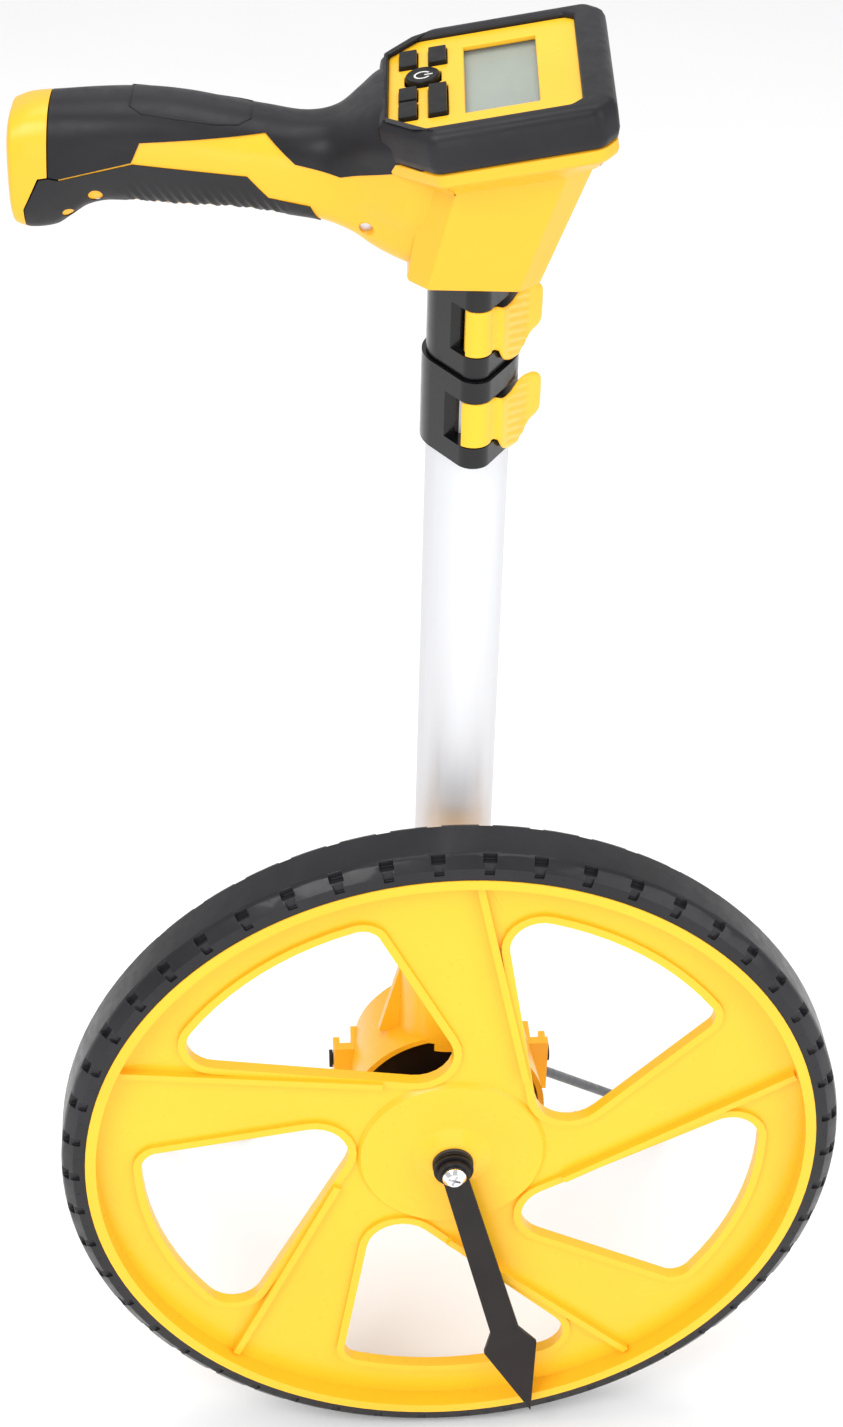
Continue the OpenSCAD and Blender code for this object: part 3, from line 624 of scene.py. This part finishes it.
def shape_grip():
    """The four pieces of the grip, cut to their zones."""
    core = grip_body("grip_core", CORE_SHRINK, ORANGE, start=-140.0, end=-12.0)
    soften(core, 0.3)
    upper = grip_body("grip_top_overmould", 0.0, OVERMOULD)
    cut(upper, side_prism("cut_upper", UPPER_ZONE), "INTERSECT")
    room = tray_cutter()
    cut(upper, room, "DIFFERENCE")
    cut(core, room, "DIFFERENCE")
    lower = grip_body("grip_lower_overmould", 0.0, RIBBED, step=0.5, around=144, ribs=True)
    cut(lower, side_prism("cut_lower", LOWER_ZONE), "INTERSECT")
    for i, (x, z) in enumerate(SCREW_PLACES):
        well = drill("cut_screw_%d" % i, x, z, WELL_R, WELL_FLOOR, -CUT_HALF)
        cut(core if i == 0 else lower, well, "DIFFERENCE")
    cut(lower, drill("cut_lanyard", *LANYARD, LANYARD_R, CUT_HALF, -CUT_HALF), "DIFFERENCE")
    cap = grip_body("grip_butt_cap", 0.0, ORANGE)
    cut(cap, side_prism("cut_cap", CAP_ZONE), "INTERSECT")
    for piece in (upper, lower, cap):
        soften(piece, 0.5, angle=40)
    return core, upper, lower, cap


def build_grip():
    """Grip core, overmoulds and butt cap, each on its own body."""
    core, upper, lower, cap = shape_grip()
    for piece in (core, upper, lower):
        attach(piece, "head")
    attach(cap, "butt_cap")
    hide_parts("grip_upper")
    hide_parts("grip_lower")
    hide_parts("butt_cap")


# ---------- neck, tray and bumper ----------
def blended(a, b, t):
    """The ring that lies the share t of the way from ring a to ring b."""
    return [tuple(p + (q - p) * t for p, q in zip(u, v)) for u, v in zip(a, b)]


NECK_LOW = mirrored([(-23, -21, 1.5), (-16, -28, 1.5), (15, -28, 1.5), (22.5, -21, 1.5)])
# Outline of the neck where it meets the lip, in the plane of the face
NECK_HIGH = mirrored([(-31, -23, 1.5), (-20, -33.5, 1.5), (17, -33.5, 1.5), (27.5, -24, 1.5)])
NECK_HIGH_Z = -25.5
# Outline of the yellow lip before it is inset. Its far corners are rounder than the bumper's
LIP_OUTLINE = mirrored([(-41.5, -27, 4), (-24, -44.8, 7), (31, -44.8, 9), (36.8, -37.5, 6)])
# Rings from the shoulder out to the yellow lip under the bumper: inset and height
LIP = [(8.6, -22.6), (6.0, -20.4), (3.4, -19.0), (2.0, -18.0), (1.4, -16.8), (1.3, -13.4),
       (4.0, -12.2)]


def face_local(point):
    """A point of the tilted face, in the head's own frame, in millimetres."""
    moved = HEAD.inverted() @ FACE @ (Vector(point) * MM)
    return tuple(moved / MM)


def build_neck():
    """Yellow neck from the top of the tube up to the lip under the bumper."""
    low = NECK_Z / MM
    rings = []
    for drop, height in ((1.6, 0.0), (0.5, 0.5), (0.0, 1.6)):
        rings.append([(x, y, low + height) for x, y in inset(NECK_LOW, drop)])
    high = [face_local((x, y, NECK_HIGH_Z)) for x, y in NECK_HIGH]
    start = rings[-1]
    for step in range(1, 9):
        rings.append(blended(start, high, step / 8))
    for distance, z in LIP:
        rings.append([face_local((x, y, z)) for x, y in inset(LIP_OUTLINE, distance)])
    points, faces = loft(rings)
    neck = mesh_object("head_neck", points, faces, HEAD, ORANGE)
    soften(neck, 0.8, angle=35)
    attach(neck, "head")
    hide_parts("housing_near", "housing_far")


BUMPER_HIGH = 2.0
BUMPER_LOW = -13.5


def bumper_rings():
    """Sections round the bumper's rim, from the inside over the top and down the outside."""
    high, low = BUMPER_HIGH, BUMPER_LOW
    outer = mirrored([(-41.5, -27, 4), (-24, -44.8, 7), (31, -44.8, 6), (36.8, -37.5, 5)], steps=8)
    inner = mirrored([(-38, -27, 2), (-28.4, -37.6, 3), (26, -37.6, 3), (29.8, -34, 2)], steps=8)
    # The rim reaches over the plate's front edge
    over = mirrored([(-38, -27, 2), (-28.4, -37.4, 3), (22.4, -37.4, 3), (26, -34, 2)], steps=8)
    profile = [
        (inner, 0.0, -6.0), (inner, 0.0, 0.05), (over, 0.0, 0.08), (over, 0.0, 0.8),
        (over, -0.4, 1.6), (over, -1.3, 2.0),
        (outer, 3.6, high), (outer, 2.0, high - 0.5), (outer, 0.8, high - 1.6),
        (outer, 0.1, high - 3.4), (outer, 0.0, high - 6), (outer, 0.2, low + 4),
        (outer, 1.0, low + 1.4), (outer, 2.4, low + 0.3), (outer, 4.0, low), (inner, -0.5, low),
        (inner, -0.2, low + 1.5),
    ]
    return [[(x, y, z) for x, y in inset(shape, d)] for shape, d, z in profile]


def build_bumper():
    """Rounded rubber frame round the display plate, open towards the grip."""
    points, faces = joined_loft(bumper_rings())
    bumper = mesh_object("display_bumper", points, faces, FACE, OVERMOULD)
    even_shading(bumper)
    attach(bumper, "head")
    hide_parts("bumper")


# ---------- clamp levers ----------
# Along the arm: distance from the pin, gap inside, thickness, lower and upper edge in millimetres
LEVER_ARM = [
    (0.0, -2.6, 2.4, 8.6, 25.4), (2.0, -2.2, 2.4, 8.5, 25.5), (3.8, -1.7, 2.5, 8.4, 25.2),
    (4.6, 0.2, 1.6, 8.0, 24.9), (5.6, 0.4, 1.8, 6.0, 24.5), (7.0, 0.4, 1.8, 4.2, 24.1),
    (8.5, 0.4, 1.8, 2.9, 23.8), (10.5, 0.4, 1.8, 1.9, 23.8), (13.0, 0.4, 1.8, 0.9, 24.1),
    (15.5, 0.4, 1.8, 0.4, 24.9), (18.0, 0.4, 1.8, 0.3, 25.7),
    (20.0, 0.4, 1.8, 0.9, 26.0), (22.4, 0.5, 1.8, 2.4, 25.9), (24.8, 0.8, 1.9, 5.0, 25.6),
    (27.0, 1.2, 2.0, 6.4, 25.2), (29.5, 1.7, 2.1, 7.2, 24.0), (31.0, 2.0, 2.0, 8.6, 22.6),
    (32.0, 2.2, 1.4, 11.0, 20.0),
]
LEVER_TILT = math.radians(57)
LEVER_SMALL = 4.1
LEVER_LOW, LEVER_HIGH = 8.3, 25.7
LEVER_STEP = 0.5
RIPPLE_PITCH = 3.3
RIPPLE = 0.3
RIPPLE_SLANT = 0.35


def lever_section(x, hub, across=40):
    """One closed section of the lever's arm, with ripples on its outer face."""
    gap_in, thick, low, high = (
        ease([(row[0], row[k]) for row in LEVER_ARM], x) for k in (1, 2, 3, 4)
    )
    fade = max(0.0, min(1.0, (x - 8) / 3, (25 - x) / 3))
    outer, inner = [], []
    for k in range(across + 1):
        u = 2 * k / across - 1
        z = low + (high - low) * (u + 1) / 2
        bulge = math.sqrt(max(0.0, 1 - abs(u) ** 8))
        ripple = fade * RIPPLE * math.sin(2 * math.pi * (z + RIPPLE_SLANT * x) / RIPPLE_PITCH)
        centre = -hub - gap_in - thick / 2
        outer.append((x, centre - (thick / 2 + ripple) * bulge, z))
        inner.append((x, centre + thick / 2 * bulge, z))
    return outer + list(reversed(inner[1:-1]))


def lever_hub(name, hub, matrix):
    """The round part of the lever at its pin: a small radius inside, the nose outside."""
    turns = [(LEVER_SMALL, -12 + 10 * i) for i in range(19)]
    turns += [(hub, 168 + 7.5 * i) for i in range(25)]
    outline = [
        (r * math.cos(math.radians(a)), r * math.sin(math.radians(a))) for r, a in turns
    ]
    return cutter(name, soft_prism(outline, LEVER_LOW, LEVER_HIGH, 0.5), matrix, YELLOW, True)


def build_lever(place, nose_r):
    """Flip lever of one clamp, tilted to follow the clamp round the tube."""
    hub = nose_r + 0.1
    pin = middle(place + "_lever_pin")
    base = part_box(place + "_clamp")[0].z
    matrix = Matrix.Translation((pin.x, pin.y, base)) @ Matrix.Rotation(LEVER_TILT, 4, "Z")
    stations = [LEVER_STEP * i for i in range(65)]
    points, faces = loft([lever_section(x, hub) for x in stations])
    arm = mesh_object(place + "_lever_arm", points, faces, matrix, YELLOW)
    cut(arm, lever_hub(place + "_lever_hub", hub, matrix), "UNION")
    soften(arm, 0.25, angle=40)
    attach(arm, place + "_lever")
    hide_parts(place + "_lever")


# ---------- power key ----------
POWER_KEY = (-26.2, 5.8)
POWER_HALF = (5.85, 6.3)
KEY_LOW, KEY_HIGH = -3.4, 1.6
MARK_R = 2.6
MARK_WIDTH = 0.6
MARK_HEIGHT = 0.12


def ribbon(path, width, low, high):
    """A flat ribbon along an open path."""
    left, right = [], []
    for i, point in enumerate(path):
        before = Vector(path[max(0, i - 1)])
        after = Vector(path[min(len(path) - 1, i + 1)])
        along = (after - before).normalized()
        side = Vector((-along.y, along.x)) * (width / 2)
        left.append(tuple(Vector(point) + side))
        right.append(tuple(Vector(point) - side))
    return prism(right + list(reversed(left)), low, high)


def build_power_cap():
    """Round key with a raised rim."""
    x0, y0 = POWER_KEY
    profile = [
        (0.96, KEY_LOW), (1.0, KEY_LOW + 0.3), (1.0, KEY_HIGH - 0.7), (0.97, KEY_HIGH - 0.2),
        (0.92, KEY_HIGH), (0.86, KEY_HIGH - 0.05), (0.8, KEY_HIGH - 0.35), (0.7, KEY_HIGH - 0.4),
        (0.02, KEY_HIGH - 0.4),
    ]
    rings = [
        [(x0 + POWER_HALF[0] * k * c, y0 + POWER_HALF[1] * k * s, z) for c, s in circle(48)]
        for k, z in profile
    ]
    points, faces = loft(rings)
    key = mesh_object("power_key_cap", points, faces, FACE, KEY)
    even_shading(key)
    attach(key, "key_power")
    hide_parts("key_power")


def build_power_mark():
    """Plain power symbol on the key: an open arc and a bar."""
    x0, y0 = POWER_KEY
    top = KEY_HIGH - 0.42
    start, turn = math.radians(35), math.radians(290)
    turns = [start + turn * i / 28 for i in range(29)]
    arc = [(x0 + MARK_R * math.cos(a), y0 + MARK_R * math.sin(a)) for a in turns]
    bar = [(x0 + 0.7, y0), (x0 + 3.5, y0)]
    for name, path in (("power_mark_arc", arc), ("power_mark_bar", bar)):
        points, faces = ribbon(path, MARK_WIDTH, top, top + MARK_HEIGHT)
        mark = mesh_object(name, points, faces, FACE, MARK, smooth=False)
        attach(mark, "key_power")


# ---------- tyre ----------
BLOCKS = 50
PIN_R = WHEEL_R / MM - 6.4
PIN_DEPTH = 0.45


def build_tyre_pins():
    """Small moulding pins in the side wall, as many as the tread has blocks."""
    points, faces = [], []
    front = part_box("tyre")[0].y / MM
    profile = [(1.5, 1.2), (1.5, 0.1), (1.15, -0.12), (0.9, 0.25), (0.62, 0.2), (0.4, -0.28),
               (0.08, -0.36)]
    for i in range(BLOCKS):
        turn = 2 * math.pi * i / BLOCKS
        cx = WHEEL.x / MM + PIN_R * math.sin(turn)
        cz = WHEEL.z / MM + PIN_R * math.cos(turn)
        rings = [
            [(cx + r * c, front + PIN_DEPTH + y, cz + r * s) for c, s in circle(10)]
            for r, y in profile
        ]
        more, sides = loft(rings)
        shift = len(points)
        points += more
        faces += [tuple(shift + k for k in face) for face in sides]
    pins = mesh_object("tyre_pins", points, faces, Matrix.Identity(4), TYRE)
    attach(pins, "wheel")


# ---------- stage, light and camera ----------
FLOOR_HALF = 6
FLOOR_GAP = 0.0004
CAMERA_PLACE = Vector((-0.0925, -0.94115, 1.000555))
CAMERA_LENS = 73.16


def build_stage():
    """Pale floor just under the wheel."""
    floor_material = Paint("floor_paper", (0.96, 0.96, 0.96), 0.8)
    floor_material.vary_color(3, 0.01).grain(1.5, 0.02)
    mesh = bpy.data.meshes.new("floor")
    size = FLOOR_HALF
    mesh.from_pydata([(-size, -size, 0), (size, -size, 0), (size, size, 0), (-size, size, 0)], [],
                     [(0, 1, 2, 3)])
    mesh.materials.append(floor_material.material)
    floor = bpy.data.objects.new("floor", mesh)
    bpy.context.collection.objects.link(floor)
    floor.location.z = CAD_LOW.z - FLOOR_GAP


def area_light(name, place, aim, size, power):
    data = bpy.data.lights.new(name, "AREA")
    data.shape = "RECTANGLE"
    data.size, data.size_y = size
    data.energy = power
    light = bpy.data.objects.new(name, data)
    bpy.context.collection.objects.link(light)
    light.location = place
    light.rotation_mode = "QUATERNION"
    light.rotation_quaternion = (Vector(aim) - Vector(place)).to_track_quat("-Z", "Y")


def build_light():
    """White surroundings and four large soft lamps."""
    world = bpy.data.worlds.new("studio")
    bpy.context.scene.world = world
    world.use_nodes = True
    world.node_tree.nodes["Background"].inputs["Color"].default_value = (1, 1, 1, 1)
    world.node_tree.nodes["Background"].inputs["Strength"].default_value = 0.7
    aim = (0, 0, 0.3)
    area_light("key", (-1.0, -1.3, 1.9), aim, (1.1, 1.1), 22)
    area_light("fill", (1.5, -1.1, 1.0), aim, (1.2, 1.6), 12)
    area_light("top", (0.1, 0.3, 2.2), aim, (1.6, 1.2), 16)
    area_light("front", (0.0, -2.2, 0.5), (0, 0, 0.15), (1.6, 0.8), 8)


def build_camera():
    """Camera above the wheel's open side, looking down on it, as a long lens would."""
    down, yaw, roll = math.radians(35.7), math.radians(5.0), math.radians(-1.6)
    place = CAMERA_PLACE
    forward = Vector((math.sin(yaw) * math.cos(down), math.cos(yaw) * math.cos(down),
                      -math.sin(down)))
    level = forward.cross(Vector((0, 0, 1))).normalized()
    below = forward.cross(level)
    right = math.cos(roll) * level + math.sin(roll) * below
    downward = -math.sin(roll) * level + math.cos(roll) * below
    data = bpy.data.cameras.new("camera")
    data.sensor_width = 36
    data.lens = CAMERA_LENS
    camera = bpy.data.objects.new("camera", data)
    bpy.context.collection.objects.link(camera)
    camera.matrix_world = Matrix((
        (right.x, -downward.x, -forward.x, place.x),
        (right.y, -downward.y, -forward.y, place.y),
        (right.z, -downward.z, -forward.z, place.z),
        (0, 0, 0, 1),
    ))
    bpy.context.scene.camera = camera


finish_nodes()
build_grip()
build_neck()
build_bumper()
build_thumb_pad()
build_lever("lower", 6.5)
build_lever("upper", 5.6)
build_power_cap()
build_power_mark()
build_tyre_pins()
build_stage()
build_light()
build_camera()
bpy.context.scene.view_settings.view_transform = "Standard"
